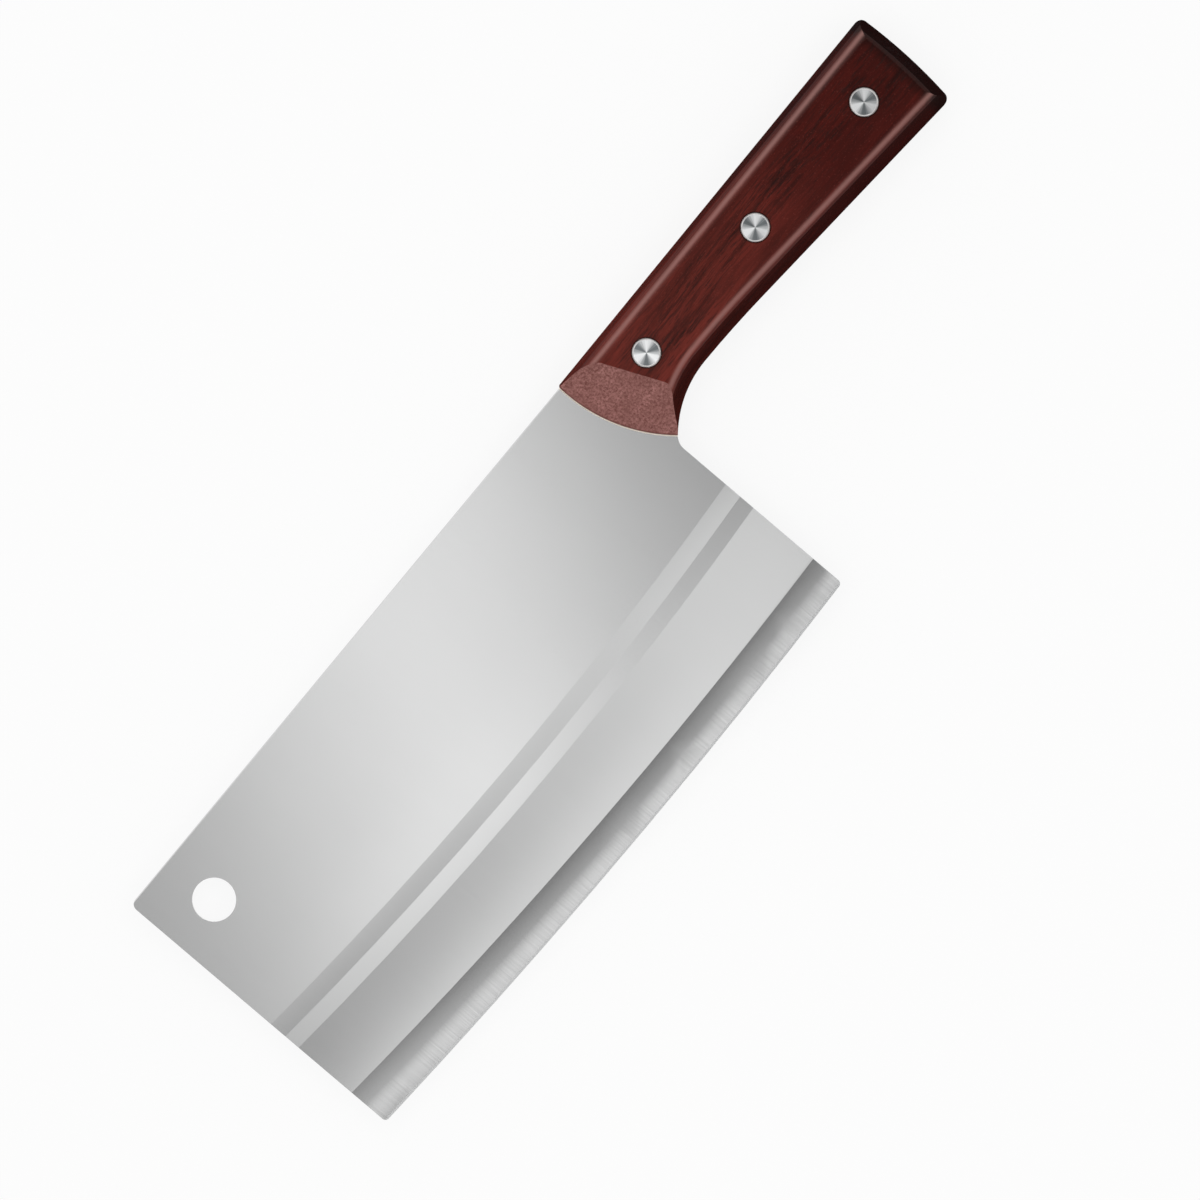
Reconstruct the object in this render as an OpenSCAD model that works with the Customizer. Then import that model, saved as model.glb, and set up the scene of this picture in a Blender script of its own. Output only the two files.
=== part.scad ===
// Kitchen slicing knife: a full-tang rectangular blade between two riveted wooden scales.
// It lies on one flat side. +X runs to the blade's front, +Y to the cutting edge, +Z up.
// All lengths are millimetres. The sketches are drawn from the point where the spine meets
// the handle's front, in the middle of the steel; lay_down() moves them to the part's frame.

/* [Blade] */
// Length of the spine, from the handle to the front
blade_length = 174.5; // [160:0.5:200]
// Depth from the spine to the cutting edge, where it is greatest
blade_depth = 90.3; // [86:0.1:96]
// Thickness of the steel in the tang
tang_t = 2.5; // [2:0.1:3.2]
// How far each face of the blade is ground below the tang
face_relief = 0.05; // [0.03:0.01:0.1]
// Lean of the front and of the heel from square, in degrees
end_lean = 0.7; // [0:0.1:2.5]
// Distance of the heel line behind the handle's front, measured at the spine
heel_setback = 9; // [7.5:0.1:9.5]
// Radius of the neck between the handle and the heel
neck_r = 4.5; // [3.5:0.1:5.5]
// Rounding of the corner between spine and front
spine_corner_r = 2; // [1:0.1:4]
// Rounding of the two corners at the cutting edge
edge_corner_r = 1.2; // [0.4:0.1:2]
// Width of the bevel that breaks the sharp edges of the spine
spine_break = 0.3; // [0.1:0.05:0.5]

/* [Grind] */
// Distance from the spine to the first ground band, where it is greatest
band_depth = 52.4; // [46:0.2:56]
// Width of the upper, sloping band
slope_band_w = 4.9; // [3:0.1:7]
// Width of the flat band below it
flat_band_w = 4.5; // [3:0.1:7]
// Radius of the bands' curve along the blade
band_sweep_r = 1110; // [900:10:2000]
// Distance of the bands' deepest point in front of the handle
band_vertex = 74.6; // [50:0.2:90]
// Width of the hollow bevel from its shoulder to the cutting edge
bevel_w = 9.9; // [8:0.1:12]
// Thickness of the blade at the shoulder
shoulder_t = 1.3; // [1:0.05:1.6]
// Radius of the shoulder's curve along the blade
shoulder_sweep_r = 1350; // [1000:10:2500]
// Distance of the shoulder's deepest point in front of the handle
shoulder_vertex = 60.6; // [40:0.2:80]
// Radius of the wheel that hollows the bevel
wheel_r = 130; // [120:5:250]
// Width of the honed edge
honed_w = 0.6; // [0.4:0.1:1]
// Thickness where the honed edge starts
honed_t = 0.4; // [0.3:0.02:0.5]
// Thickness left at the cutting edge
edge_t = 0.1; // [0.06:0.02:0.16]
// Radius of the cutting edge's curve along the blade
edge_sweep_r = 1870; // [1400:10:2500]
// Distance of the edge's deepest point in front of the handle
edge_vertex = 64.6; // [40:0.2:80]

/* [Hang hole] */
// Diameter of the hang hole
hang_hole_d = 11.5; // [8:0.5:14]
// Distance of its centre from the spine
hang_hole_depth = 15.8; // [12:0.2:20]
// Distance of its centre behind the blade's front
hang_hole_setback = 14.9; // [12:0.1:20]

/* [Handle] */
// Length of the handle from its front to the butt
handle_length = 124.2; // [118:0.2:130]
// Thickness of each scale
scale_t = 8.9; // [8.4:0.1:10]
// Height of the handle's back above the spine, at the handle's front
back_rise = 0.45; // [0.2:0.05:2]
// Rise of the back towards the butt, in degrees
back_slope = 0.4; // [0:0.02:0.8]
// Radius of the handle's front
front_r = 45; // [42:1:55]
// Depth of the handle's foremost point below the spine
front_crown_depth = 3; // [2:0.2:6]
// Rounding of the corner between the handle's back and its front
front_corner_r = 0.8; // [0.4:0.1:1.6]
// Depth of the waist below the spine
waist_depth = 24.65; // [24:0.05:26]
// Distance of the waist behind the handle's front
waist_setback = 29.8; // [28:0.1:32]
// Radius of the hollow for the finger, in front of the waist
finger_r = 31; // [29:0.2:34]
// Radius of the belly's gentle hollow behind the waist
waist_r = 320; // [250:10:450]
// Fall of the straight belly towards the butt, in degrees
belly_slope = 3.9; // [3:0.1:5]
// Radius of the butt
butt_r = 144; // [120:2:200]
// Depth of the butt's rearmost point below the spine
butt_crown_depth = 7.8; // [5:0.2:12]
// Rounding of the butt's two corners
butt_corner_r = 2.1; // [0.8:0.1:3]

/* [Handle edges] */
// Width of the rounding along the back
back_edge_w = 5; // [4.6:0.1:5.6]
// Steepest slope of the rounding along the back, in degrees
back_edge_angle = 72; // [64:1:74]
// Radius of the rounding along the back
back_edge_r = 4.2; // [3.6:0.1:4.6]
// Width of the flank along the belly
belly_edge_w = 6.3; // [5.4:0.1:6.6]
// Slope of the flank along the belly, in degrees
belly_edge_angle = 54; // [46:1:56]
// Radius that softens the flank along the belly
belly_edge_r = 4.2; // [3.4:0.1:4.6]
// Width of the flank round the butt
butt_edge_w = 3.9; // [3:0.1:5]
// Slope of the flank round the butt, in degrees
butt_edge_angle = 55; // [45:1:57]
// Radius that softens the flank round the butt
butt_edge_r = 1.5; // [1:0.1:2.5]

/* [Front facet] */
// Distance of the facet's ridge behind the handle's front, at the spine
ridge_setback = 10; // [8:0.1:11]
// Skew of the ridge from square to the spine, in degrees
ridge_skew = 23; // [18:0.5:26]
// Slope of the facet down to the blade, in degrees
facet_slope = 29; // [24:0.5:31]

/* [Rivets] */
// Distance of the front rivet behind the handle's front
rivet_setback = 21.4; // [20:0.1:23]
// Depth of the front rivet below the spine
rivet_depth = 11.7; // [10:0.1:13]
// Distance of the rear rivet in front of the butt
rivet_butt_setback = 16.8; // [14:0.1:20]
// Fall of the row of rivets towards the butt, in degrees
rivet_row_slope = 1.3; // [0:0.1:3]
// Diameter of the rivet heads
head_d = 7.6; // [6.5:0.1:9]
// Thickness of the rivet heads
head_t = 1.8; // [1.2:0.1:2.5]
// Width of the bevel round each rivet head
head_bevel_w = 0.45; // [0.2:0.05:0.6]
// Height of the bevel round each rivet head
head_bevel_t = 0.2; // [0.1:0.05:0.4]
// Outer diameter of the barrel
barrel_d = 5; // [4.4:0.1:5.8]
// Diameter of the pin that is driven into the barrel
pin_d = 3.2; // [2.6:0.1:3.6]
// Length of the pin inside the barrel
pin_grip = 11; // [8:0.5:12]
// Depth of the hole in the barrel beyond the pin's end
pin_room = 0.8; // [0.4:0.1:1.5]
// Width of the lead-in bevel at the pin's end
pin_lead = 0.4; // [0.2:0.05:0.6]
// Clearance all round the pin in the barrel
pin_clearance = 0.02; // [0.01:0.01:0.04]
// Clearance all round the barrel in the scales and the tang
barrel_clearance = 0.05; // [0.02:0.01:0.15]
// Clearance all round the heads in their counterbores
head_clearance = 0.03; // [0.02:0.01:0.1]

/* [Hidden] */
$fn = 96;
// Facets of a full turn at the blade's long radii
sweep_fn = 1440;
// How far cutting shapes run past what they cut
overrun = 2;
// How far a corner's cutting shape reaches past the sharp corner, as a share of its reach
corner_share = 1.25;
// How far neighbouring curves of an outline cross, because curves that only touch leave slivers
crossing = 0.003;
// How far the hollow for the finger runs on inside the stretch behind it, in degrees
finger_lap = 0.5;

tang_half = tang_t / 2;
face_half = tang_half - face_relief;
handle_half = tang_half + scale_t;

// Depth of the bevel's shoulder, width of the band above it, and how the steel thins across the bands
shoulder_depth = blade_depth - bevel_w;
lower_band_w = shoulder_depth - band_depth - slope_band_w - flat_band_w;
thinning = (face_half - shoulder_t / 2) / (slope_band_w + lower_band_w);

// Centres of the long curves along the blade
band_centre = [band_vertex, band_depth - band_sweep_r];
shoulder_centre = [shoulder_vertex, shoulder_depth - shoulder_sweep_r];
edge_centre = [edge_vertex, blade_depth - edge_sweep_r];

// Directions along the straight sides, and normals across the blade to the heel or into the handle
end_dir = [sin(end_lean), cos(end_lean)];
end_normal = [-cos(end_lean), sin(end_lean)];
back_dir = [-cos(back_slope), -sin(back_slope)];
back_normal = [-sin(back_slope), cos(back_slope)];
belly_dir = [-cos(belly_slope), sin(belly_slope)];
belly_normal = [-sin(belly_slope), -cos(belly_slope)];

// Centres of the handle's curves
front_centre = [-front_r, front_crown_depth];
butt_centre = [butt_r - handle_length, butt_crown_depth];
waist_centre = [-waist_setback, waist_depth + crossing + waist_r];
finger_centre = [-waist_setback, waist_depth + finger_r];

// Points on the straight sides
heel_foot = [-heel_setback, 0];
front_foot = [blade_length, 0];
back_foot = [0, -back_rise];
belly_foot = waist_centre + (waist_r - crossing) * belly_normal;

// A circle of radius r that touches a line from inside, and touches the circle of radius big
// round centre c from inside; way picks one of the two, against or along the line's direction
function touching_centre(foot, dir, normal, c, big, r, way) =
    let (start = foot + r * normal - c)
    let (b = start * dir)
    let (k = start * start - (big - r) * (big - r))
    c + start + (-b + way * sqrt(b * b - k)) * dir;

function unit(v) = v / norm(v);

// Where the circle of a rounded corner meets its straight side. The side's normal points from
// the side to the centre, and its direction runs to the corner.
function side_end(centre, r, normal, dir) =
    centre - r * normal + sqrt(crossing * (2 * r + crossing)) * dir;

neck_centre = touching_centre(heel_foot, end_dir, end_normal, finger_centre, finger_r, neck_r, -1);
front_edge_centre =
    touching_centre(front_foot, end_dir, end_normal, edge_centre, edge_sweep_r, edge_corner_r, 1);
heel_edge_centre =
    touching_centre(heel_foot, end_dir, -end_normal, edge_centre, edge_sweep_r, edge_corner_r, 1);
front_back_centre =
    touching_centre(back_foot, back_dir, back_normal, front_centre, front_r, front_corner_r, -1);
butt_back_centre =
    touching_centre(back_foot, back_dir, back_normal, butt_centre, butt_r, butt_corner_r, 1);
butt_belly_centre =
    touching_centre(belly_foot, belly_dir, belly_normal, butt_centre, butt_r, butt_corner_r, 1);
spine_front_centre =
    front_foot + spine_corner_r * [-(1 - sin(end_lean)) / cos(end_lean), 1];

// Outermost points of the knife, which place the part's frame
x_low = -handle_length;
x_high = side_end(front_edge_centre, edge_corner_r, end_normal, end_dir)[0];
y_low = side_end(butt_back_centre, butt_corner_r, back_normal, back_dir)[1];
y_high = blade_depth;

// Places of the rivets
FRONT = 0;
MIDDLE = 1;
REAR = 2;
RIVETS = [FRONT, MIDDLE, REAR];
rivet_dir = [-cos(rivet_row_slope), sin(rivet_row_slope)];
rivet_pitch = (handle_length - rivet_setback - rivet_butt_setback) / (REAR * cos(rivet_row_slope));
function rivet_at(i) = [-rivet_setback, rivet_depth] + i * rivet_pitch * rivet_dir;

// Heights inside a rivet, from the middle of the steel
head_floor = handle_half - head_t;
pin_tip = head_floor - pin_grip;
hole_floor = pin_tip - pin_room;

hang_hole_at = [blade_length - hang_hole_setback, hang_hole_depth];

// Moves a shape from the sketches' origin to the middle of the knife's underside
module lay_down() {
    translate([-(x_low + x_high) / 2, -(y_low + y_high) / 2, handle_half])
        children();
}

// What rounding takes off a sharp corner, outside the circle of radius r round c.
// a and b are the directions from c to the points where the circle touches the sides.
module corner_waste(c, r, a, b) {
    reach = corner_share * r;
    difference() {
        polygon([c, c + reach * a, c + reach * (a + b) / (1 + a * b), c + reach * b]);
        translate(c) circle(r + crossing);
    }
}

// The half of the plane on one side of a line, as far as reach
module half_plane(foot, dir, normal, reach) {
    polygon([
        foot - reach * dir, foot + reach * dir,
        foot + reach * (dir + normal), foot + reach * (normal - dir)
    ]);
}

// What the rounded corners of the handle's outline lose
module handle_corner_waste() {
    corner_waste(front_back_centre, front_corner_r, -back_normal, unit(front_back_centre - front_centre));
    corner_waste(butt_back_centre, butt_corner_r, -back_normal, unit(butt_back_centre - butt_centre));
    corner_waste(butt_belly_centre, butt_corner_r, -belly_normal, unit(butt_belly_centre - butt_centre));
}

// The open space under the handle, as far forward as the hollow for the finger reaches
module belly_space() {
    reach = handle_length + blade_depth;
    difference() {
        half_plane(belly_foot, belly_dir, -belly_normal, reach);
        translate([belly_foot[0], -reach]) square([reach, 3 * reach]);
    }
    intersection() {
        translate(waist_centre) circle(waist_r, $fn = sweep_fn);
        translate([-waist_setback - reach, 0]) square([reach, 2 * reach]);
    }
    translate(finger_centre) circle(finger_r);
    translate(finger_centre - [reach, 0]) square([2 * reach, reach]);
}

// The open space under the handle and behind the heel, with the neck's rounding
module knuckle_space() {
    difference() {
        intersection() {
            half_plane(heel_foot, end_dir, end_normal, handle_length + blade_depth);
            belly_space();
        }
        corner_waste(neck_centre, neck_r, -end_normal, unit(neck_centre - finger_centre));
    }
}

// The blank of the blade, from its neck to its front
module blade_outline() {
    difference() {
        intersection() {
            polygon([
                heel_foot, front_foot,
                front_foot + (blade_depth + overrun) * end_dir,
                heel_foot + (blade_depth + overrun) * end_dir
            ]);
            translate(edge_centre) circle(edge_sweep_r, $fn = sweep_fn);
        }
        corner_waste(spine_front_centre, spine_corner_r, [0, -1], -end_normal);
        corner_waste(front_edge_centre, edge_corner_r, -end_normal, unit(front_edge_centre - edge_centre));
        corner_waste(heel_edge_centre, edge_corner_r, end_normal, unit(heel_edge_centre - edge_centre));
    }
}

// The zone that the scales cover, with the round front of the handle
module handle_zone() {
    translate(front_centre) circle(front_r);
    translate([x_low - overrun, front_crown_depth - front_r])
        square([handle_length + overrun - front_r, 2 * front_r]);
}

// The outline of the tang, which the scales share up to their round front
module tang_outline() {
    difference() {
        intersection() {
            half_plane(back_foot, back_dir, back_normal, handle_length + overrun);
            translate(butt_centre) circle(butt_r);
            handle_zone();
        }
        knuckle_space();
        handle_corner_waste();
    }
}

// The steel between the scales' round front and the heel line
module neck_outline() {
    difference() {
        polygon([
            [-front_r, 0], [0, 0], [blade_length / 2, 0],
            [blade_length / 2, blade_depth / 2], [-front_r, blade_depth / 2]
        ]);
        knuckle_space();
    }
}

// Profile of the blade's faces across the ground bands, from the centre of their curve
module band_profile() {
    spine_r = band_sweep_r - band_depth - back_rise - overrun;
    slope_r = band_sweep_r + slope_band_w;
    flat_r = slope_r + flat_band_w;
    end_r = flat_r + lower_band_w + 2 * bevel_w;
    slope_half = face_half - slope_band_w * thinning;
    end_half = slope_half - (end_r - flat_r) * thinning;
    polygon([
        [spine_r, -face_half], [band_sweep_r, -face_half], [slope_r, -slope_half],
        [flat_r, -slope_half], [end_r, -end_half], [end_r, end_half],
        [flat_r, slope_half], [slope_r, slope_half], [band_sweep_r, face_half], [spine_r, face_half]
    ]);
}

// Section of the grinding wheel that passes the shoulder and the start of the honed edge
module wheel_profile() {
    shoulder = [shoulder_sweep_r, shoulder_t / 2];
    honed = [shoulder_sweep_r + bevel_w - honed_w, honed_t / 2];
    chord = honed - shoulder;
    rise = sqrt(wheel_r * wheel_r - chord * chord / 4);
    translate((shoulder + honed) / 2 + rise * [-chord[1], chord[0]] / norm(chord))
        circle(wheel_r, $fn = sweep_fn);
}

// Profile of the hollow bevel, from the centre of the shoulder's curve
module bevel_profile() {
    inner_r = shoulder_sweep_r - shoulder_depth - back_rise - overrun;
    outer_r = shoulder_sweep_r + 2 * bevel_w;
    difference() {
        translate([inner_r, -tang_t]) square([outer_r - inner_r, 2 * tang_t]);
        for (side = [-1, 1]) scale([1, side]) wheel_profile();
    }
}

// Profile of the honed edge, from the centre of the edge's curve
module edge_profile() {
    inner_r = edge_sweep_r - blade_depth - back_rise - overrun;
    honing = (honed_t - edge_t) / (2 * honed_w);
    flare_r = edge_sweep_r - honed_w - (tang_half - honed_t / 2) / honing;
    outer_r = edge_sweep_r + overrun;
    polygon([
        [inner_r, -tang_t], [flare_r, -tang_t], [flare_r, -tang_half], [edge_sweep_r, -edge_t / 2],
        [outer_r, -edge_t / 2], [outer_r, edge_t / 2],
        [edge_sweep_r, edge_t / 2], [flare_r, tang_half], [flare_r, tang_t], [inner_r, tang_t]
    ]);
}

// Turns a profile round the centre of a long curve, as far as the whole blade needs
module swept(centre) {
    reach = blade_length + blade_depth;
    half_turn = asin(reach / norm(centre));
    translate(centre)
        rotate([0, 0, 90 - half_turn])
            rotate_extrude(angle = 2 * half_turn, $fn = sweep_fn)
                children();
}

// Prism that breaks the two sharp edges along the spine
module spine_waste() {
    for (side = [-1, 1]) scale([1, 1, side])
        translate([-front_r, 0, 0])
            rotate([90, 0, 90])
                linear_extrude(front_r + blade_length + overrun)
                    polygon([
                        [-overrun, face_half - spine_break - overrun],
                        [spine_break + overrun, face_half + overrun],
                        [-overrun, face_half + overrun]
                    ]);
}

module rivet_holes(d) {
    for (i = RIVETS)
        translate(concat(rivet_at(i), -handle_half - overrun))
            cylinder(d = d, h = 2 * (handle_half + overrun));
}

module blade_body() {
    difference() {
        intersection() {
            translate([0, 0, -tang_half]) linear_extrude(tang_t) union() {
                blade_outline();
                neck_outline();
            }
            swept(band_centre) band_profile();
            swept(edge_centre) edge_profile();
            swept(shoulder_centre) bevel_profile();
        }
        spine_waste();
        translate(concat(hang_hole_at, -tang_t)) cylinder(d = hang_hole_d, h = 2 * tang_t);
    }
}

module blade() {
    color("silver") difference() {
        union() {
            blade_body();
            translate([0, 0, -tang_half]) linear_extrude(tang_t) tang_outline();
        }
        rivet_holes(barrel_d + 2 * barrel_clearance);
    }
}

// Half of a section across the handle: how a scale falls from its flat side to its edge.
// x is the distance in from the outline and y the height above the tang. It is a little taller
// than the scale, whose flat side is cut last, at one height for all the edges.
module flank_profile(depth, w, angle, r) {
    top = scale_t + crossing;
    centre = [w, top - r];
    up = [0, 1];
    out = [-sin(angle), cos(angle)];
    corner = centre + r * (up + out) / (1 + up * out);
    difference() {
        polygon([[0, 0], [depth, 0], [depth, top], corner, [0, corner[1] - corner[0] * tan(angle)]]);
        corner_waste(centre, r, up, out);
    }
}

module back_sweep() {
    translate(back_foot)
        rotate([0, 0, 90 + back_slope])
            translate([0, handle_length + overrun, 0])
                rotate([90, 0, 0])
                    linear_extrude(handle_length + 2 * overrun)
                        flank_profile(blade_depth, back_edge_w, back_edge_angle, back_edge_r);
}

module belly_flank() {
    flank_profile(handle_length + blade_depth, belly_edge_w, belly_edge_angle, belly_edge_r);
}

// The hollow for the finger, then the gentle hollow behind the waist and the straight belly
module belly_sweep() {
    reach = handle_length + blade_depth;
    translate(finger_centre)
        rotate([0, 0, -90 - finger_lap])
            rotate_extrude(angle = 90 + finger_lap)
                translate([finger_r, 0]) belly_flank();
    intersection() {
        translate(waist_centre)
            rotate([0, 0, -belly_slope - 90]) {
                rotate_extrude(angle = 2 * belly_slope)
                    translate([waist_r, 0]) belly_flank();
                rotate([90, 0, 0])
                    linear_extrude(handle_length)
                        translate([waist_r, 0]) belly_flank();
            }
        translate([-waist_setback - reach, -reach, -overrun])
            cube([reach, 2 * reach, scale_t + 2 * overrun]);
    }
}

module butt_sweep() {
    translate(butt_centre)
        rotate_extrude()
            intersection() {
                translate([butt_r, 0])
                    mirror([1, 0])
                        flank_profile(butt_r + overrun, butt_edge_w, butt_edge_angle, butt_edge_r);
                square([butt_r, scale_t + overrun]);
            }
}

// Everything above the sloping facet at the handle's front
module facet_waste() {
    translate([-ridge_setback, 0, scale_t])
        rotate([0, 0, ridge_skew])
            rotate([0, facet_slope, 0])
                translate([0, -blade_depth / 2, 0])
                    cube([blade_depth, blade_depth, blade_depth]);
}

// One scale, with the tang's face as its floor
module scale_blank() {
    difference() {
        intersection() {
            back_sweep();
            belly_sweep();
            butt_sweep();
            linear_extrude(scale_t) handle_zone();
        }
        facet_waste();
        translate([0, 0, -overrun]) linear_extrude(scale_t + 2 * overrun) handle_corner_waste();
    }
}

module drilled_scale() {
    difference() {
        translate([0, 0, tang_half]) scale_blank();
        rivet_holes(barrel_d + 2 * barrel_clearance);
        for (i = RIVETS)
            translate(concat(rivet_at(i), head_floor))
                cylinder(d = head_d + 2 * head_clearance, h = head_t + overrun);
    }
}

module left_scale() {
    color("saddlebrown") drilled_scale();
}

module right_scale() {
    color("saddlebrown") mirror([0, 0, 1]) drilled_scale();
}

// The flat head that both halves of a rivet have, flush with the scale's side
module rivet_head() {
    translate([0, 0, head_floor]) cylinder(d = head_d, h = head_t - head_bevel_t);
    translate([0, 0, handle_half - head_bevel_t])
        cylinder(d1 = head_d, d2 = head_d - 2 * head_bevel_w, h = head_bevel_t);
}

// The half with the pin, whose head shows on the left side
module rivet_pin(i) {
    color("gainsboro") translate(rivet_at(i)) {
        rivet_head();
        translate([0, 0, pin_tip + pin_lead]) cylinder(d = pin_d, h = pin_grip - pin_lead);
        translate([0, 0, pin_tip]) cylinder(d1 = pin_d - 2 * pin_lead, d2 = pin_d, h = pin_lead);
    }
}

// The half with the barrel, whose head shows on the right side
module rivet_barrel(i) {
    color("gainsboro") translate(rivet_at(i)) difference() {
        union() {
            mirror([0, 0, 1]) rivet_head();
            translate([0, 0, -head_floor]) cylinder(d = barrel_d, h = 2 * head_floor);
        }
        translate([0, 0, hole_floor])
            cylinder(d = pin_d + 2 * pin_clearance, h = head_floor - hole_floor + overrun);
    }
}

lay_down() blade();
lay_down() left_scale();
lay_down() right_scale();
lay_down() rivet_barrel(FRONT);  // front_rivet_barrel
lay_down() rivet_pin(FRONT);  // front_rivet_pin
lay_down() rivet_barrel(MIDDLE);  // middle_rivet_barrel
lay_down() rivet_pin(MIDDLE);  // middle_rivet_pin
lay_down() rivet_barrel(REAR);  // rear_rivet_barrel
lay_down() rivet_pin(REAR);  // rear_rivet_pin
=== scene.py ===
"""Looks of the kitchen knife: materials, light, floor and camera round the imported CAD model.

Lengths are in metres and colours are linear. In the CAD frame, +X runs from the butt to the blade's
front, +Y from the spine to the cutting edge, and +Z up from the floor.
"""

import math

import bpy
from mathutils import Matrix, Vector


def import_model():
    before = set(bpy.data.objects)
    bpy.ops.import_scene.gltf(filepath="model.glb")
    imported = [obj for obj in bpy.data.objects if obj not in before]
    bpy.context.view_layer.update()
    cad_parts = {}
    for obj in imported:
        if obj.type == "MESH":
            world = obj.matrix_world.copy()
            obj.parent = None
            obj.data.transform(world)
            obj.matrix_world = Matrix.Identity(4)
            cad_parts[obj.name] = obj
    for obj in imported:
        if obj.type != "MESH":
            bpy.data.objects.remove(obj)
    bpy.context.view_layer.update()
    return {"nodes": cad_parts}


# Axes of the rivets, the middle of the handle and of its grain, and where the facet faces
RIVETS = {
    "front": Vector((-0.04708, -0.03280, 0.0)),
    "middle": Vector((-0.09006, -0.03182, 0.0)),
    "rear": Vector((-0.13305, -0.03085, 0.0)),
}
HANDLE_MIDDLE = Vector((-0.09, -0.032, 0.01))
GRAIN_MIDDLE_Y = -0.0315
FACET_NORMAL = Vector((0.446, 0.189, 0.875))

# The large arcs of part.scad: the bevel's shoulder, the cutting edge, the handle's front and butt
SHOULDER_CENTRE = Vector((0.034925, -1.314099, 0.0))
SHOULDER_RADIUS = 1.350
EDGE_CENTRE = Vector((0.038925, -1.824199, 0.0))
EDGE_RADIUS = 1.870
FRONT_CENTRE = Vector((-0.070675, -0.041499, 0.0))
FRONT_RADIUS = 0.045
BUTT_CENTRE = Vector((-0.005875, -0.036699, 0.0))
BUTT_RADIUS = 0.144

# Lines drawn on the steel: the honed edge and the pale line before the handle, half the blur of
# their borders and of the shoulder's, and where the bevel's coarse marks start and are full
HONED_WIDTH = 0.0006
RUBBED_WIDTH = 0.0003
LINE_BLUR = 0.00004
SHOULDER_BLUR = 0.00005
MARKS_SPAN = (0.003, 0.009)

# Distances from the arcs' centres and the rivets' axes at which a colour starts and is full: the
# dark butt, its end grain deepened with painted shade, and how far its border wavers, the painted
# shadow along the facet's foot, the painted shadow in the gap round a rivet head and the head's
# polished rim
BUTT_SPAN = (BUTT_RADIUS - 0.0064, BUTT_RADIUS - 0.0034)
BUTT_WAVER = 0.0004
FACET_SHADOW_SPAN = (FRONT_RADIUS - 0.0005, FRONT_RADIUS - 0.0001)
GAP_SHADOW_SPAN = (0.00425, 0.00395)
HEAD_RIM = (0.00330, 0.00338)

# The values of a noise that are spread over a whole range, from hard to soft borders
HARD = (0.34, 0.66)
MEDIUM = (0.30, 0.70)
SOFT = (0.25, 0.75)
VERY_SOFT = (0.20, 0.80)

# The values at which the wood's patches, streaks, pores and specks begin and are full
PATCH_VALUES = (0.36, 0.58)
STREAK_VALUES = (0.48, 0.60)
PORE_VALUES = (0.55, 0.66)
SPECK_VALUES = (0.62, 0.74)

# Streaks and pores gather in patches near the handle's middle line. This share of them is left
# outside, and these are the distances from the line between which they thin out.
QUIET_SHARE = 0.25
BUSY_SPAN = (0.004, 0.011)
GRAIN_SWAY = 0.003

# Each noise as cycles to a metre in X, Y and Z, detail and roughness
STEEL_NOISE = {
    "fine": ((9000.0, 40.0, 40.0), 2.0, 0.6),
    "coarse": ((2600.0, 55.0, 55.0), 3.0, 0.6),
    "clouds": ((26.0, 16.0, 16.0), 3.0, 0.5),
}
WOOD_NOISE = {
    "wave": ((16.0, 55.0, 55.0), 2.0, 0.5),
    "bands": ((18.0, 260.0, 260.0), 4.0, 0.62),
    "streaks": ((90.0, 900.0, 900.0), 4.0, 0.7),
    "fibres": ((150.0, 2600.0, 2600.0), 3.0, 0.65),
    "pores": ((260.0, 2900.0, 2900.0), 1.0, 0.5),
    "patches": ((22.0, 95.0, 95.0), 2.0, 0.5),
    "specks": ((1900.0, 2600.0, 2600.0), 1.0, 0.5),
    "mottle": ((1500.0, 1500.0, 1500.0), 4.0, 0.8),
    "blotch": ((420.0, 420.0, 420.0), 2.0, 0.6),
}

STEEL_COLOURS = {
    "dark": (0.644, 0.646, 0.646, 1.0),
    "light": (0.770, 0.772, 0.772, 1.0),
    "honed": (0.900, 0.905, 0.910, 1.0),
    "rubbed": (0.950, 0.860, 0.740, 1.0),
}
WOOD_COLOURS = {
    "dark_band": (0.044, 0.0022, 0.0008, 1.0),
    "light_band": (0.122, 0.0085, 0.0042, 1.0),
    "fibre": (0.050, 0.0034, 0.0016, 1.0),
    "streak": (0.014, 0.0014, 0.0010, 1.0),
    "pore": (0.007, 0.0012, 0.0009, 1.0),
    "speck": (0.190, 0.0340, 0.0240, 1.0),
    # Painted shade on the handle's slopes
    "flank": (0.012, 0.0012, 0.0008, 1.0),
    # The butt's darker end grain, deepened with painted shade
    "butt": (0.006, 0.0007, 0.0005, 1.0),
    # Painted highlight: the paler colour of the handle's ridges
    "painted_highlight": (0.235, 0.105, 0.093, 1.0),
    # Painted shadow in the gap round each rivet head
    "gap_shadow": (0.006, 0.0015, 0.0012, 1.0),
}
# What the polished wood's colour is multiplied by at the back and at the front of the handle, and
# where along X the first passes into the second
WOOD_TONES = ((0.66, 0.40, 0.30, 1.0), (1.55, 2.40, 3.00, 1.0))
WOOD_TONE_SPAN = (-0.116, -0.070)
FACET_COLOURS = {
    "dark": (0.105, 0.0290, 0.0240, 1.0),
    "light": (0.430, 0.2000, 0.1800, 1.0),
    "blotch": (0.150, 0.0560, 0.0460, 1.0),
    "band": (0.120, 0.0360, 0.0300, 1.0),
    # Painted shadow along the facet's foot at the blade
    "foot": (0.060, 0.0160, 0.0120, 1.0),
}
HEAD_COLOURS = {
    # The dark and bright sector colours are a painted reflection; ring and rim are the turned
    # finish
    "dark": (0.150, 0.165, 0.172, 1.0),
    "painted_bright_sector": (0.960, 0.965, 0.970, 1.0),
    "ring": (0.500, 0.505, 0.510, 1.0),
    "rim": (0.990, 0.965, 0.950, 1.0),
}
FLOOR_COLOURS = ((0.86, 0.86, 0.86, 1.0), (0.90, 0.90, 0.90, 1.0))
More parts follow.
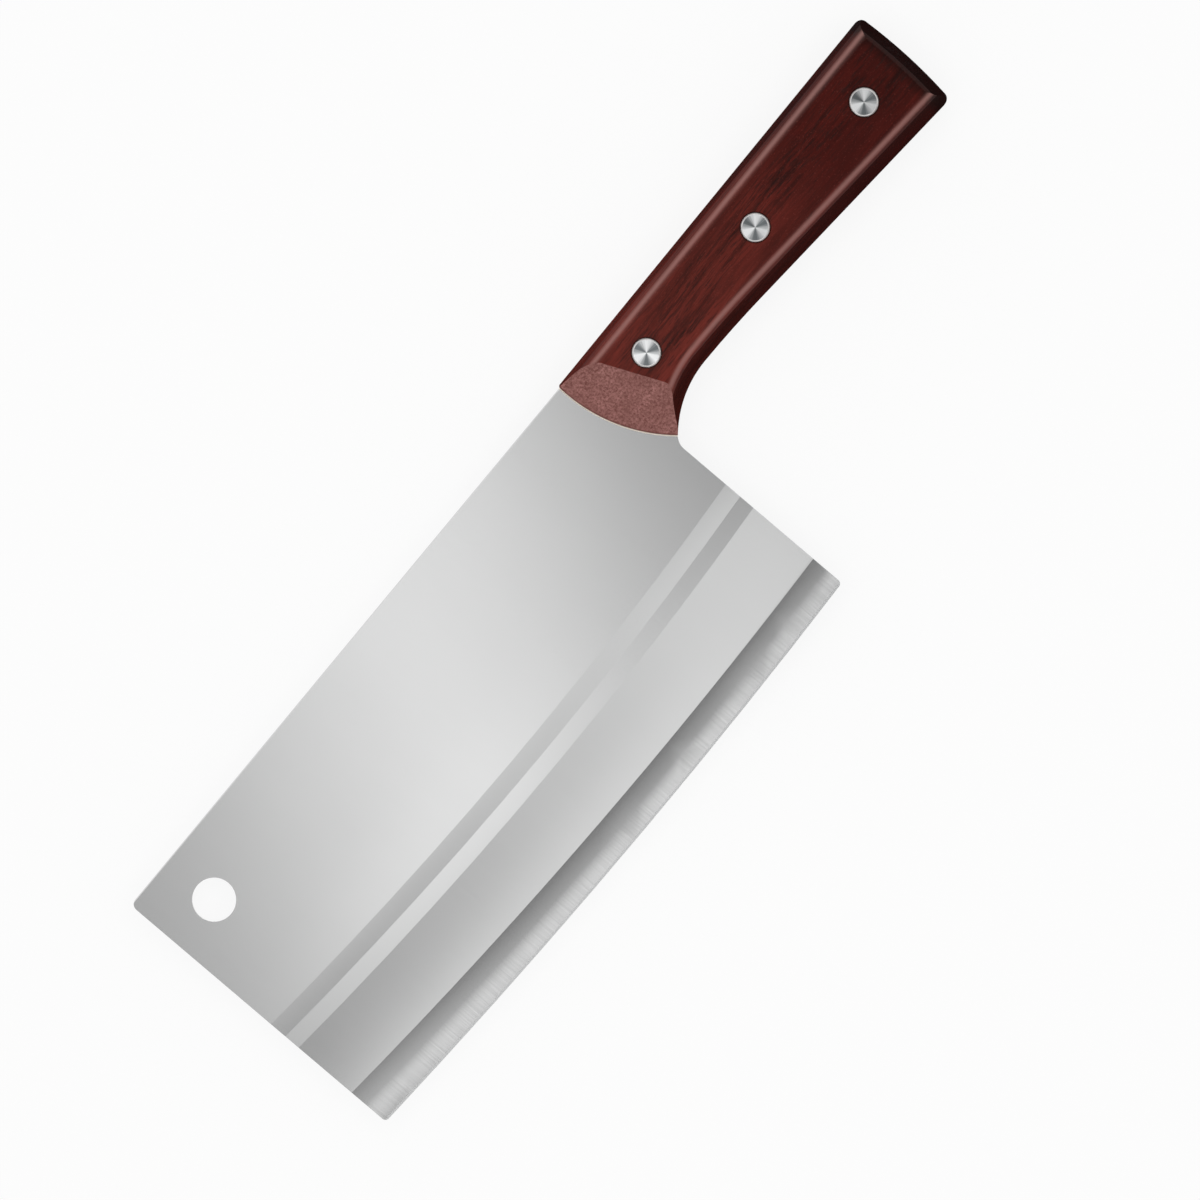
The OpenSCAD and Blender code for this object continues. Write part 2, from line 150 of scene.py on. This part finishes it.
FELT_COLOURS = ((0.050, 0.050, 0.050, 1.0), (0.080, 0.080, 0.080, 1.0))
WHITE = (1.0, 1.0, 1.0, 1.0)

# How much of each colour shows where its mask is full
WOOD_SHARES = {
    "fibre": 0.55, "streak": 0.85, "pore": 0.75, "speck": 0.28,
    "butt": 0.85, "painted_highlight": 0.62, "gap_shadow": 0.85,
}
FACET_SHARES = {"blotch": 0.35, "band": 0.35, "foot": 0.65}
# How far painted shade darkens the slopes on the spine side and on the belly side
SPINE_SLOPE_SHADE = 0.15
BELLY_SLOPE_SHADE = 0.72
HONED_SHARE = 0.8
RING_SHARE = 0.18

# How far the steel's shade swings about the middle for the grind and clouds, and for the marks
FINE_SWING = 0.10
MARKS_SWING = 0.5
MIDDLE_SHADE = 0.5

# Borders of the handle's slopes and ridges, as the upward or sideways part of the surface normal
FLANK_TILT = (0.80, 0.60)
FLANK_SIDEWAYS = (-0.5, 0.3)
# Where the painted highlight on the ridges lies
HIGHLIGHT_TILT = (0.76, 0.88, 0.925, 0.985)
HIGHLIGHT_SIDEWAYS = (0.12, 0.30)
RIDGE_TILT = (0.62, 0.76, 0.95, 0.995)
FACET_MATCH = (0.9955, 0.9985)
UPRIGHT_TILT = (0.15, 0.35)

# Roughness, and what each finish adds to it or takes from it
STEEL_ROUGHNESS = {"grind": (0.14, 0.165), "bevel": 0.02, "lines": 0.20, "upright": 0.34}
WOOD_ROUGHNESS = {"deep": 0.40, "high": 0.30, "ridge": 0.15, "flank": -0.14, "facet": 0.50}
HEAD_ROUGHNESS = {"rings": (0.28, 0.34), "rim": 0.05}

# How far the grind lines and the turned rings stretch a reflection
STEEL_ANISOTROPY = 0.9
HEAD_ANISOTROPY = 0.8

# Sheen of the varnish
WOOD_IOR = 1.30
WOOD_SHEEN = (1.0, 0.68, 0.62, 1.0)

# Relief: how high the fibres and the facet's mottle stand against pores one unit deep, the range of
# those heights, and the depth in metres and strength of the grain and of the turned rings
FIBRE_HEIGHT = 0.3
MOTTLE_HEIGHT = 0.8
HEIGHT_SPAN = (-1.0, 0.3)
WOOD_BUMP = (0.00002, 0.5)
RING_BUMP = (0.000002, 1.0)

# The bright sectors of a rivet head, which are a painted reflection: how many, the direction of
# one, how soft and how ragged they are, and the scale, detail and roughness of the noise in them
# and in the rings
SECTORS = 3.0
SECTOR_ANGLE = math.radians(219.6)
SECTOR_SOFTNESS = 0.9
SECTOR_WAVER = 0.25
SECTOR_NOISE = (7.0, 2.0, 0.6)
RING_NOISE = (9000.0, 2.0, 0.6)

# How the photograph lies on the knife, seen from straight above
PHOTO_MIDDLE = Vector((0.00994, -0.00118, 0.01015))
PHOTO_RIGHT = Vector((-0.63817, 0.76991, 0.0))
PHOTO_UP = Vector((-0.76991, -0.63817, 0.0))
PHOTO_SIDE = 0.312
CAMERA_DISTANCE = 3.0
SENSOR_WIDTH = 36.0

# The floor, and how much of it is plain white to the camera and to reflections
FLOOR_SIDE = 8.0
FLOOR_GRAIN = 900.0
FLOOR_WHITE_SHARE = 0.86

# The dome overhead: its slightly leaning axis, and its shades from the horizon to the top
DOME_AXIS = (0.06, 0.04, 1.0)
DOME = (
    (0.06, 1.0), (0.18, 0.60), (0.33, 0.92), (0.50, 0.48), (0.66, 0.95), (0.80, 0.40), (0.92, 0.45),
)

# The graded scrim between the dome and the knife. A level place on the knife reflects the place on
# the scrim that lies SCRIM_SPREAD times as far from the middle of the photograph.
SCRIM_HEIGHT = 0.50
SCRIM_SIDE = 0.72
SCRIM_SPREAD = 1.0 + SCRIM_HEIGHT / CAMERA_DISTANCE

# Its patches of light. Four numbers are the places on the knife where a patch begins, is full,
# starts to fade and ends. The diagonal patch crosses the flat face and ends before the ground
# bands. The crest brightens the level band, and the brow the lower face at the front.
WHOLE_X = (-0.090, -0.045, 0.19, 0.26)
FACE_Y = (-0.30, -0.15, 0.060, 0.106)
DIAGONAL = (-0.035, 0.060, 0.075, 0.165)
DIAGONAL_LEAN = 0.60
DIAGONAL_END_Y = (0.018, 0.030)
LOWER_FACE_Y = (0.044, 0.057, 0.068, 0.102)
BANDS_Y = (0.018, 0.028, 0.044, 0.058)
CREST_Y = (-0.012, 0.004, 0.012, 0.022)
CREST_X = (0.03, 0.06, 0.12, 0.15)
BROW_Y = (0.032, 0.042, 0.046, 0.056)
HONED_Y = (0.19, 0.23, 0.30, 0.32)
FACE_LIGHT = 0.50
DIAGONAL_LIGHT = 0.70
LOWER_FACE_LIGHT = 0.52
CREST_LIGHT = 0.10
HONED_LIGHT = 1.15
# Light that changes along X: from where to where, and how much at either place
BANDS_HEEL = (-0.03, 0.05, 0.62, 0.20)
BANDS_FRONT = (0.05, 0.15, 0.0, -0.34)
BROW_FRONT = (0.06, 0.12, 0.0, 0.13)

# The black card under the handle, which its lower slopes reflect
CARD_MIDDLE = (-0.1125, -0.0125, 0.0006)
CARD_HALF = (0.1275, 0.0925)
CARD_FADE = 0.04
CARD_NAP = 600.0

# The overhead light, which gives no reflection
OVERHEAD_PLACE = Vector((0.0, 0.02, 1.60))
OVERHEAD_SIDE = 1.6
OVERHEAD_RADIANCE = 1.4

# Long lights that the handle's ridges mirror: name, place across and above the handle, height and
# radiance
STRIPS = (("spine", -0.90, 0.78, 0.76, 6.0), ("edge", 0.96, 0.72, 0.66, 5.0))
STRIP_LENGTH = 2.0

# The light over the handle that only the rivet heads mirror
PANEL_RISE = Vector((0.0, 0.0, 0.40))
PANEL_SIZE = (0.36, 0.30)
PANEL_RADIANCE = 0.55

# Sockets of a Mix node that blends colours
MIX_SHARE, MIX_FIRST, MIX_SECOND = 0, 6, 7
MIX_RESULT = 2


class Nodes:
    """Short calls for building one material."""

    def __init__(self, name):
        self.material = bpy.data.materials.new(name)
        self.material.use_nodes = True
        self.tree = self.material.node_tree
        self.tree.nodes.clear()
        self.output = self.tree.nodes.new("ShaderNodeOutputMaterial")

    def add(self, kind, inputs=None, **settings):
        node = self.tree.nodes.new("ShaderNode" + kind)
        for key, value in settings.items():
            setattr(node, key, value)
        for key, value in (inputs or {}).items():
            if isinstance(value, bpy.types.NodeSocket):
                self.tree.links.new(value, node.inputs[key])
            else:
                node.inputs[key].default_value = value
        return node

    def place(self):
        return self.add("TexCoord").outputs["Object"]

    def normal(self):
        return self.add("TexCoord").outputs["Normal"]

    def part(self, vector, axis):
        return self.add("SeparateXYZ", {0: vector}).outputs[axis]

    def math(self, operation, a, b=0.0):
        return self.add("Math", {0: a, 1: b}, operation=operation).outputs[0]

    def times(self, first, *others):
        for value in others:
            first = self.math("MULTIPLY", first, value)
        return first

    def plus(self, first, *others):
        for value in others:
            first = self.math("ADD", first, value)
        return first

    def minus(self, a, b):
        return self.math("SUBTRACT", a, b)

    def size(self, value):
        return self.math("ABSOLUTE", value)

    def vector(self, operation, a, b=(0.0, 0.0, 0.0)):
        return self.add("VectorMath", {0: a, 1: b}, operation=operation)

    def mapped(self, vector, scale):
        return self.add("Mapping", {"Vector": vector, "Scale": scale}).outputs[0]

    def noise(self, vector, scale, detail=2.0, roughness=0.5):
        inputs = {"Vector": vector, "Scale": scale, "Detail": detail, "Roughness": roughness}
        return self.add("TexNoise", inputs).outputs["Fac"]

    def grain(self, vector, scales, detail, roughness):
        """Noise with its own scale in each direction."""
        return self.noise(self.mapped(vector, scales), 1.0, detail, roughness)

    def span(self, value, low, high, to_low=0.0, to_high=1.0, kind="LINEAR"):
        """Passes from to_low to to_high while the value goes from low to high."""
        inputs = {
            "Value": value, "From Min": low, "From Max": high,
            "To Min": to_low, "To Max": to_high,
        }
        return self.add("MapRange", inputs, interpolation_type=kind).outputs[0]

    def hill(self, value, foot_low, top_low, top_high, foot_high, kind="LINEAR"):
        """1 between the two tops, and 0 beyond the feet."""
        rise = self.span(value, foot_low, top_low, kind=kind)
        fall = self.span(value, top_high, foot_high, 1.0, 0.0, kind=kind)
        return self.times(rise, fall)

    def blend(self, share, a, b, kind="MIX"):
        node = self.add("Mix", data_type="RGBA", blend_type=kind)
        for socket, value in ((MIX_SHARE, share), (MIX_FIRST, a), (MIX_SECOND, b)):
            if isinstance(value, bpy.types.NodeSocket):
                self.tree.links.new(value, node.inputs[socket])
            else:
                node.inputs[socket].default_value = value
        return node.outputs[MIX_RESULT]

    def bump(self, height, distance, strength):
        inputs = {"Height": height, "Distance": distance, "Strength": strength}
        return self.add("Bump", inputs).outputs[0]

    def arm(self, place, centre):
        """The level arm from an upright axis at centre."""
        arm = self.vector("SUBTRACT", place, centre).outputs[0]
        return self.vector("MULTIPLY", arm, (1.0, 1.0, 0.0)).outputs[0]

    def reach(self, place, centre):
        """Distance from an upright axis at centre."""
        return self.vector("LENGTH", self.arm(place, centre)).outputs["Value"]

    def surface(self, shader):
        self.tree.links.new(shader.outputs[0], self.output.inputs["Surface"])
        return self.material


def steel_material():
    """Satin steel whose grind lines run from the spine to the edge, coarser in the bevel."""
    m = Nodes("blade_steel")
    place = m.place()
    past_shoulder = m.minus(m.reach(place, SHOULDER_CENTRE), SHOULDER_RADIUS)
    before_edge = m.minus(EDGE_RADIUS, m.reach(place, EDGE_CENTRE))
    bevel = m.span(past_shoulder, -SHOULDER_BLUR, SHOULDER_BLUR)
    honed = m.span(before_edge, HONED_WIDTH + LINE_BLUR, HONED_WIDTH - LINE_BLUR)
    before_handle = m.minus(m.reach(place, FRONT_CENTRE), FRONT_RADIUS)
    line = m.span(m.size(before_handle), RUBBED_WIDTH + LINE_BLUR, RUBBED_WIDTH - LINE_BLUR)
    rubbed = m.times(line, m.math("GREATER_THAN", m.part(place, "X"), FRONT_CENTRE.x))

    grain = {name: m.grain(place, *noise) for name, noise in STEEL_NOISE.items()}
    marks = m.span(grain["coarse"], *MEDIUM, -MARKS_SWING, MARKS_SWING)
    shade = m.plus(
        m.span(grain["fine"], *MEDIUM, -FINE_SWING, FINE_SWING),
        m.span(grain["clouds"], *MEDIUM, -FINE_SWING, FINE_SWING),
        m.times(marks, m.span(past_shoulder, *MARKS_SPAN)),
        MIDDLE_SHADE,
    )
    colour = m.blend(shade, STEEL_COLOURS["dark"], STEEL_COLOURS["light"])
    colour = m.blend(m.times(honed, HONED_SHARE), colour, STEEL_COLOURS["honed"])
    colour = m.blend(rubbed, colour, STEEL_COLOURS["rubbed"])

    upward = m.size(m.part(m.normal(), "Z"))
    rough = m.plus(
        m.span(grain["fine"], *SOFT, *STEEL_ROUGHNESS["grind"]),
        m.times(bevel, STEEL_ROUGHNESS["bevel"]),
        m.times(m.math("MAXIMUM", honed, rubbed), STEEL_ROUGHNESS["lines"]),
        m.span(upward, *UPRIGHT_TILT, STEEL_ROUGHNESS["upright"], 0.0),
    )
    return m.surface(m.add("BsdfPrincipled", {
        "Base Color": colour, "Metallic": m.minus(1.0, rubbed), "Roughness": rough,
        "Anisotropic": STEEL_ANISOTROPY, "Tangent": m.add("CombineXYZ", {"X": 1.0}).outputs[0],
    }))


def polished_colour(m, place, grain, tilt_up, sideways):
    """The varnished wood, from its bands to painted shade on the slopes, the butt's darker end
    grain deepened with painted shade, a painted highlight on the ridges and painted shadow in the
    rivet gaps.
    """
    def over(name, mask, colour):
        return m.blend(m.times(mask, WOOD_SHARES[name]), colour, WOOD_COLOURS[name])

    bands = m.span(grain["bands"], *HARD)
    colour = m.blend(bands, WOOD_COLOURS["dark_band"], WOOD_COLOURS["light_band"])
    colour = over("fibre", m.span(grain["fibres"], *MEDIUM), colour)
    tone = m.blend(m.span(m.part(place, "X"), *WOOD_TONE_SPAN), *WOOD_TONES)
    colour = m.blend(1.0, colour, tone, "MULTIPLY")
    colour = over("streak", grain["streak"], colour)
    colour = over("pore", grain["pore"], colour)
    colour = over("speck", m.span(grain["specks"], *SPECK_VALUES), colour)

    # Painted shade: the slopes darken, much more on the belly side than on the spine side
    slope_shade_share = m.span(sideways, *FLANK_SIDEWAYS, SPINE_SLOPE_SHADE, BELLY_SLOPE_SHADE)
    darker = m.times(m.span(tilt_up, *FLANK_TILT), slope_shade_share)
    colour = m.blend(darker, colour, WOOD_COLOURS["flank"])
    # The butt's darker end grain, deepened with painted shade
    waver = m.span(grain["fibres"], *MEDIUM, -BUTT_WAVER, BUTT_WAVER)
    butt = m.span(m.plus(m.reach(place, BUTT_CENTRE), waver), *BUTT_SPAN)
    colour = over("butt", butt, colour)
    # Painted highlight: the ridges are paled where the strips' reflection falls
    painted_highlight = m.times(m.hill(tilt_up, *HIGHLIGHT_TILT), m.span(m.size(sideways), *HIGHLIGHT_SIDEWAYS))
    colour = over("painted_highlight", painted_highlight, colour)
    # Painted shadow in the gap round each rivet head
    for centre in RIVETS.values():
        colour = over("gap_shadow", m.span(m.reach(place, centre), *GAP_SHADOW_SPAN), colour)
    return colour


def sanded_colour(m, place, grain):
    """The mottled facet, with a painted shadow along its foot at the blade."""
    def over(name, mask, colour):
        return m.blend(m.times(mask, FACET_SHARES[name]), colour, FACET_COLOURS[name])

    colour = m.blend(m.span(grain["mottle"], *HARD), FACET_COLOURS["dark"], FACET_COLOURS["light"])
    colour = over("blotch", m.span(grain["blotch"], *HARD), colour)
    colour = over("band", m.span(grain["bands"], *HARD, 1.0, 0.0), colour)
    # Painted shadow along the facet's foot at the blade
    return over("foot", m.span(m.reach(place, FRONT_CENTRE), *FACET_SHADOW_SPAN), colour)


def wood_material():
    """Dark red-brown wood with its grain along the handle, polished except for the sanded facet."""
    m = Nodes("handle_wood")
    place = m.place()
    wave = m.grain(place, *WOOD_NOISE["wave"])
    sway = m.span(wave, 0.0, 1.0, -GRAIN_SWAY, GRAIN_SWAY)
    bent = m.vector("ADD", place, m.add("CombineXYZ", {"Y": sway}).outputs[0]).outputs[0]
    grain = {}
    for name in ("bands", "streaks", "fibres", "pores"):
        grain[name] = m.grain(bent, *WOOD_NOISE[name])
    for name in ("patches", "specks", "mottle", "blotch"):
        grain[name] = m.grain(place, *WOOD_NOISE[name])
    off_middle = m.size(m.minus(m.part(place, "Y"), GRAIN_MIDDLE_Y))
    busy = m.times(
        m.span(grain["patches"], *PATCH_VALUES, QUIET_SHARE, 1.0),
        m.span(off_middle, *BUSY_SPAN, 1.0, QUIET_SHARE),
    )
    grain["streak"] = m.times(m.span(grain["streaks"], *STREAK_VALUES), busy)
    grain["pore"] = m.times(m.span(grain["pores"], *PORE_VALUES), busy)

    normal = m.add("SeparateXYZ", {0: m.normal()})
    tilt_up = m.size(normal.outputs["Z"])
    flank = m.span(tilt_up, *FLANK_TILT)
    facing = {"X": normal.outputs["X"], "Y": normal.outputs["Y"], "Z": tilt_up}
    facing = m.add("CombineXYZ", facing).outputs[0]
    match = m.vector("DOT_PRODUCT", facing, FACET_NORMAL).outputs["Value"]
    facet = m.span(match, *FACET_MATCH)
    polished = polished_colour(m, place, grain, tilt_up, normal.outputs["Y"])
    colour = m.blend(facet, polished, sanded_colour(m, place, grain))

    height = m.minus(m.span(grain["fibres"], *VERY_SOFT, 0.0, FIBRE_HEIGHT), grain["pore"])
    mottle = m.span(grain["mottle"], *VERY_SOFT, -MOTTLE_HEIGHT, MOTTLE_HEIGHT)
    height = m.plus(height, m.times(facet, mottle))
    ridge = m.times(m.hill(tilt_up, *RIDGE_TILT), m.minus(1.0, facet))
    rough = m.plus(
        m.span(height, *HEIGHT_SPAN, WOOD_ROUGHNESS["deep"], WOOD_ROUGHNESS["high"]),
        m.times(ridge, WOOD_ROUGHNESS["ridge"]),
        m.times(flank, WOOD_ROUGHNESS["flank"]),
        m.times(facet, WOOD_ROUGHNESS["facet"]),
    )
    return m.surface(m.add("BsdfPrincipled", {
        "Base Color": colour, "Roughness": rough, "IOR": WOOD_IOR,
        "Specular Tint": WOOD_SHEEN, "Normal": m.bump(height, *WOOD_BUMP),
    }))


def rivet_material(name, centre):
    """Turned steel head: rings round its centre, three sectors of painted reflection, a polished
    rim.
    """
    m = Nodes(name)
    place = m.place()
    radial = m.vector("NORMALIZE", m.arm(place, centre)).outputs[0]
    distance = m.reach(place, centre)
    rings = m.noise(m.add("CombineXYZ", {"X": distance}).outputs[0], *RING_NOISE)
    ragged = m.span(m.noise(radial, *SECTOR_NOISE), *MEDIUM, -SECTOR_WAVER, SECTOR_WAVER)
    angle = m.math("ARCTAN2", m.part(radial, "Y"), m.part(radial, "X"))
    turns = m.math("COSINE", m.times(m.minus(angle, SECTOR_ANGLE), SECTORS))
    # Painted reflection: bright and dark sectors painted into the head's colour
    painted_sector = m.span(m.plus(turns, ragged), -SECTOR_SOFTNESS, SECTOR_SOFTNESS)
    rim = m.span(distance, *HEAD_RIM)
    colour = m.blend(painted_sector, HEAD_COLOURS["dark"], HEAD_COLOURS["painted_bright_sector"])
    colour = m.blend(m.span(rings, *MEDIUM, 0.0, RING_SHARE), colour, HEAD_COLOURS["ring"])
    colour = m.blend(rim, colour, HEAD_COLOURS["rim"])
    rough = m.plus(
        m.span(rings, *SOFT, *HEAD_ROUGHNESS["rings"]), m.times(rim, HEAD_ROUGHNESS["rim"]),
    )
    return m.surface(m.add("BsdfPrincipled", {
        "Base Color": colour, "Metallic": 1.0, "Roughness": rough,
        "Anisotropic": HEAD_ANISOTROPY, "Tangent": radial, "Normal": m.bump(rings, *RING_BUMP),
    }))


def floor_material():
    """White where the camera or a reflection sees it, with part of the knife's shadow kept."""
    m = Nodes("floor")
    grain = m.noise(m.place(), FLOOR_GRAIN)
    diffuse = m.add("BsdfDiffuse", {"Color": m.blend(grain, *FLOOR_COLOURS)})
    white = m.add("Emission", {"Color": WHITE, "Strength": 1.0})
    path = m.add("LightPath")
    seen = m.math("MAXIMUM", path.outputs["Is Camera Ray"], path.outputs["Is Glossy Ray"])
    share = m.times(seen, FLOOR_WHITE_SHARE)
    return m.surface(m.add("MixShader", {0: share, 1: diffuse.outputs[0], 2: white.outputs[0]}))


def card_material():
    """Black felt that thins out towards its rim."""
    m = Nodes("card")
    place = m.place()
    felt = m.add("BsdfDiffuse", {"Color": m.blend(m.noise(place, CARD_NAP), *FELT_COLOURS)})
    out = m.vector("ABSOLUTE", place).outputs[0]
    inside = [
        m.span(m.part(out, axis), half, half - CARD_FADE) for axis, half in zip("XY", CARD_HALF)
    ]
    gap = m.add("BsdfTransparent")
    mix = m.add("MixShader", {0: m.times(*inside), 1: gap.outputs[0], 2: felt.outputs[0]})
    return m.surface(mix)


def scrim_material():
    """Light through a graded scrim. X and Y are the place on the knife that reflects it."""
    m = Nodes("scrim")
    place = m.mapped(m.place(), (1.0 / SCRIM_SPREAD, 1.0 / SCRIM_SPREAD, 1.0))
    x, y = m.part(place, "X"), m.part(place, "Y")

    def hill(value, feet):
        return m.hill(value, *feet, kind="SMOOTHSTEP")

    leaning = m.minus(x, m.times(y, DIAGONAL_LEAN))
    above_bands = m.span(y, *DIAGONAL_END_Y, 1.0, 0.0, kind="SMOOTHSTEP")
    along_bands = m.plus(m.span(x, *BANDS_HEEL), m.span(x, *BANDS_FRONT))
    light = m.plus(
        m.times(hill(y, FACE_Y), FACE_LIGHT),
        m.times(hill(leaning, DIAGONAL), above_bands, DIAGONAL_LIGHT),
        m.times(hill(y, HONED_Y), HONED_LIGHT),
        m.times(hill(y, LOWER_FACE_Y), LOWER_FACE_LIGHT),
        m.times(hill(y, BANDS_Y), along_bands),
        m.times(hill(y, CREST_Y), hill(x, CREST_X), CREST_LIGHT),
        m.times(hill(y, BROW_Y), m.span(x, *BROW_FRONT)),
    )
    light = m.times(light, hill(x, WHOLE_X))
    return m.surface(m.add("Emission", {"Color": WHITE, "Strength": light}))


def add_sheet(name, place, size, material):
    """A level sheet of the studio, which isn't part of the knife."""
    mesh = bpy.data.meshes.new(name)
    x, y = size[0] / 2.0, size[1] / 2.0
    mesh.from_pydata([(-x, -y, 0.0), (x, -y, 0.0), (x, y, 0.0), (-x, y, 0.0)], [], [(0, 1, 2, 3)])
    sheet = bpy.data.objects.new(name, mesh)
    bpy.context.collection.objects.link(sheet)
    sheet.location = place
    sheet.data.materials.append(material)
    return sheet


def add_camera():
    """Looks straight down from the photograph's viewpoint."""
    camera = bpy.data.objects.new("camera", bpy.data.cameras.new("camera"))
    bpy.context.collection.objects.link(camera)
    back = PHOTO_RIGHT.cross(PHOTO_UP)
    axes = Matrix((PHOTO_RIGHT, PHOTO_UP, back)).transposed().to_4x4()
    camera.matrix_world = Matrix.Translation(PHOTO_MIDDLE + CAMERA_DISTANCE * back) @ axes
    camera.data.sensor_width = SENSOR_WIDTH
    camera.data.lens = SENSOR_WIDTH * CAMERA_DISTANCE / PHOTO_SIDE
    bpy.context.scene.camera = camera


def add_world():
    """A pale studio: white at the horizon and darker towards the top, in soft bands."""
    world = bpy.data.worlds.new("studio")
    bpy.context.scene.world = world
    world.use_nodes = True
    tree = world.node_tree
    direction = tree.nodes.new("ShaderNodeTexCoord").outputs["Generated"]
    height = tree.nodes.new("ShaderNodeVectorMath")
    height.operation = "DOT_PRODUCT"
    height.inputs[1].default_value = DOME_AXIS
    dome = tree.nodes.new("ShaderNodeValToRGB")
    stops = dome.color_ramp.elements
    stops[0].position, stops[1].position = DOME[0][0], DOME[-1][0]
    for place, _ in DOME[1:-1]:
        stops.new(place)
    for stop, (_, shade) in zip(stops, DOME):
        stop.color = (shade, shade, shade, 1.0)
    tree.links.new(direction, height.inputs[0])
    tree.links.new(height.outputs["Value"], dome.inputs["Fac"])
    tree.links.new(dome.outputs["Color"], tree.nodes["Background"].inputs["Color"])


def add_softbox(name, place, target, size, radiance):
    """An area light of the given radiance, which the camera doesn't see."""
    light = bpy.data.lights.new(name, "AREA")
    light.shape = "RECTANGLE"
    light.size, light.size_y = size
    light.energy = radiance * math.pi * size[0] * size[1]
    lamp = bpy.data.objects.new(name, light)
    bpy.context.collection.objects.link(lamp)
    lamp.visible_camera = False
    back = (place - target).normalized()
    up = back.cross(Vector((1.0, 0.0, 0.0))).normalized()
    axes = Matrix((up.cross(back), up, back)).transposed().to_4x4()
    lamp.matrix_world = Matrix.Translation(place) @ axes
    return lamp


def only_mirrored_by(parts, lamp):
    """Leaves a lamp only in the reflections of these parts."""
    lamp.visible_diffuse = False
    lit = bpy.data.collections.new(lamp.name + "_parts")
    for part in parts:
        lit.objects.link(part)
    lamp.light_linking.receiver_collection = lit


def add_light(nodes):
    """The dome, scrim and card, a soft overhead light, and lights that only one finish mirrors."""
    add_world()
    above = PHOTO_MIDDLE * (1.0 - SCRIM_SPREAD)
    scrim_place = (above.x, above.y, SCRIM_HEIGHT)
    scrim = add_sheet("scrim", scrim_place, (SCRIM_SIDE, SCRIM_SIDE), scrim_material())
    card = add_sheet("card", CARD_MIDDLE, [2.0 * half for half in CARD_HALF], card_material())
    for sheet in (scrim, card):
        sheet.visible_camera = False
        sheet.visible_diffuse = False
        sheet.visible_shadow = False

    below = Vector((OVERHEAD_PLACE.x, OVERHEAD_PLACE.y, 0.0))
    overhead_size = (OVERHEAD_SIDE, OVERHEAD_SIDE)
    overhead = add_softbox("overhead", OVERHEAD_PLACE, below, overhead_size, OVERHEAD_RADIANCE)
    overhead.visible_glossy = False
    scales = [nodes["left_scale"], nodes["right_scale"]]
    for side, y, z, height, radiance in STRIPS:
        place = Vector((HANDLE_MIDDLE.x, y, z))
        strip = add_softbox(side + "_strip", place, HANDLE_MIDDLE, (STRIP_LENGTH, height), radiance)
        only_mirrored_by(scales, strip)
    place = HANDLE_MIDDLE + PANEL_RISE
    panel = add_softbox("rivet_panel", place, HANDLE_MIDDLE, PANEL_SIZE, PANEL_RADIANCE)
    only_mirrored_by([part for name, part in nodes.items() if "rivet" in name], panel)


def dress(part, material):
    """Gives a CAD node its finish."""
    part.data.materials.clear()
    part.data.materials.append(material)


def main():
    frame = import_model()
    nodes = frame["nodes"]
    dress(nodes["blade"], steel_material())
    wood = wood_material()
    for side in ("left", "right"):
        dress(nodes[side + "_scale"], wood)
    for row, centre in RIVETS.items():
        rivet = rivet_material(row + "_rivet_steel", centre)
        for half in ("barrel", "pin"):
            dress(nodes[f"{row}_rivet_{half}"], rivet)
    add_sheet("floor", (0.0, 0.0, 0.0), (FLOOR_SIDE, FLOOR_SIDE), floor_material())
    add_light(nodes)
    add_camera()
    bpy.context.scene.view_settings.view_transform = "Standard"


main()
